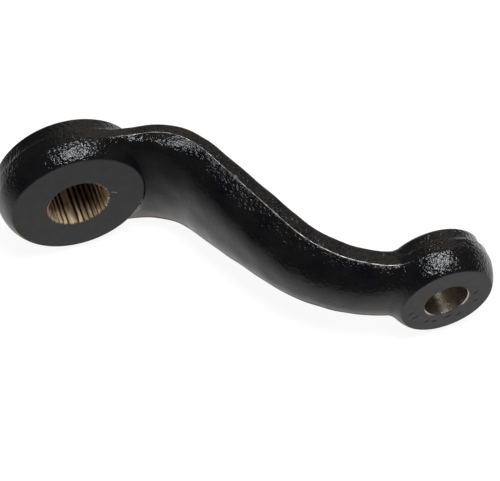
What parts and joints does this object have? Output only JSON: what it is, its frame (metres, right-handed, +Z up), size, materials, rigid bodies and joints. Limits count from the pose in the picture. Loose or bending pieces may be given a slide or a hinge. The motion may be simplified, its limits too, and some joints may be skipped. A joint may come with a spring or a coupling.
{
  "type": "pitman arm",
  "caption": "One-piece dropped pitman arm: a forged S-shaped steering lever with a serrated shaft eye at one end and a tapered ball-stud eye at the other, painted gloss black.",
  "frame": {"origin": "where the spline axis meets the spline eye's machined front face", "axes": "+X from the spline axis towards the stud axis, +Y along the spline axis away from the machined front face, the way the shaft leaves, +Z up across the arm's width, with the arm lying on its edge"},
  "size_m": [0.2112, 0.1256, 0.073],
  "materials": {
    "black_paint": "gloss black paint over a grainy forged surface, with thin grey paint on the two machined front faces and bare rusty serrations in the bore"
  },
  "bodies": {
    "root": {"pitman_arm": "black_paint"}
  },
  "joints": []
}
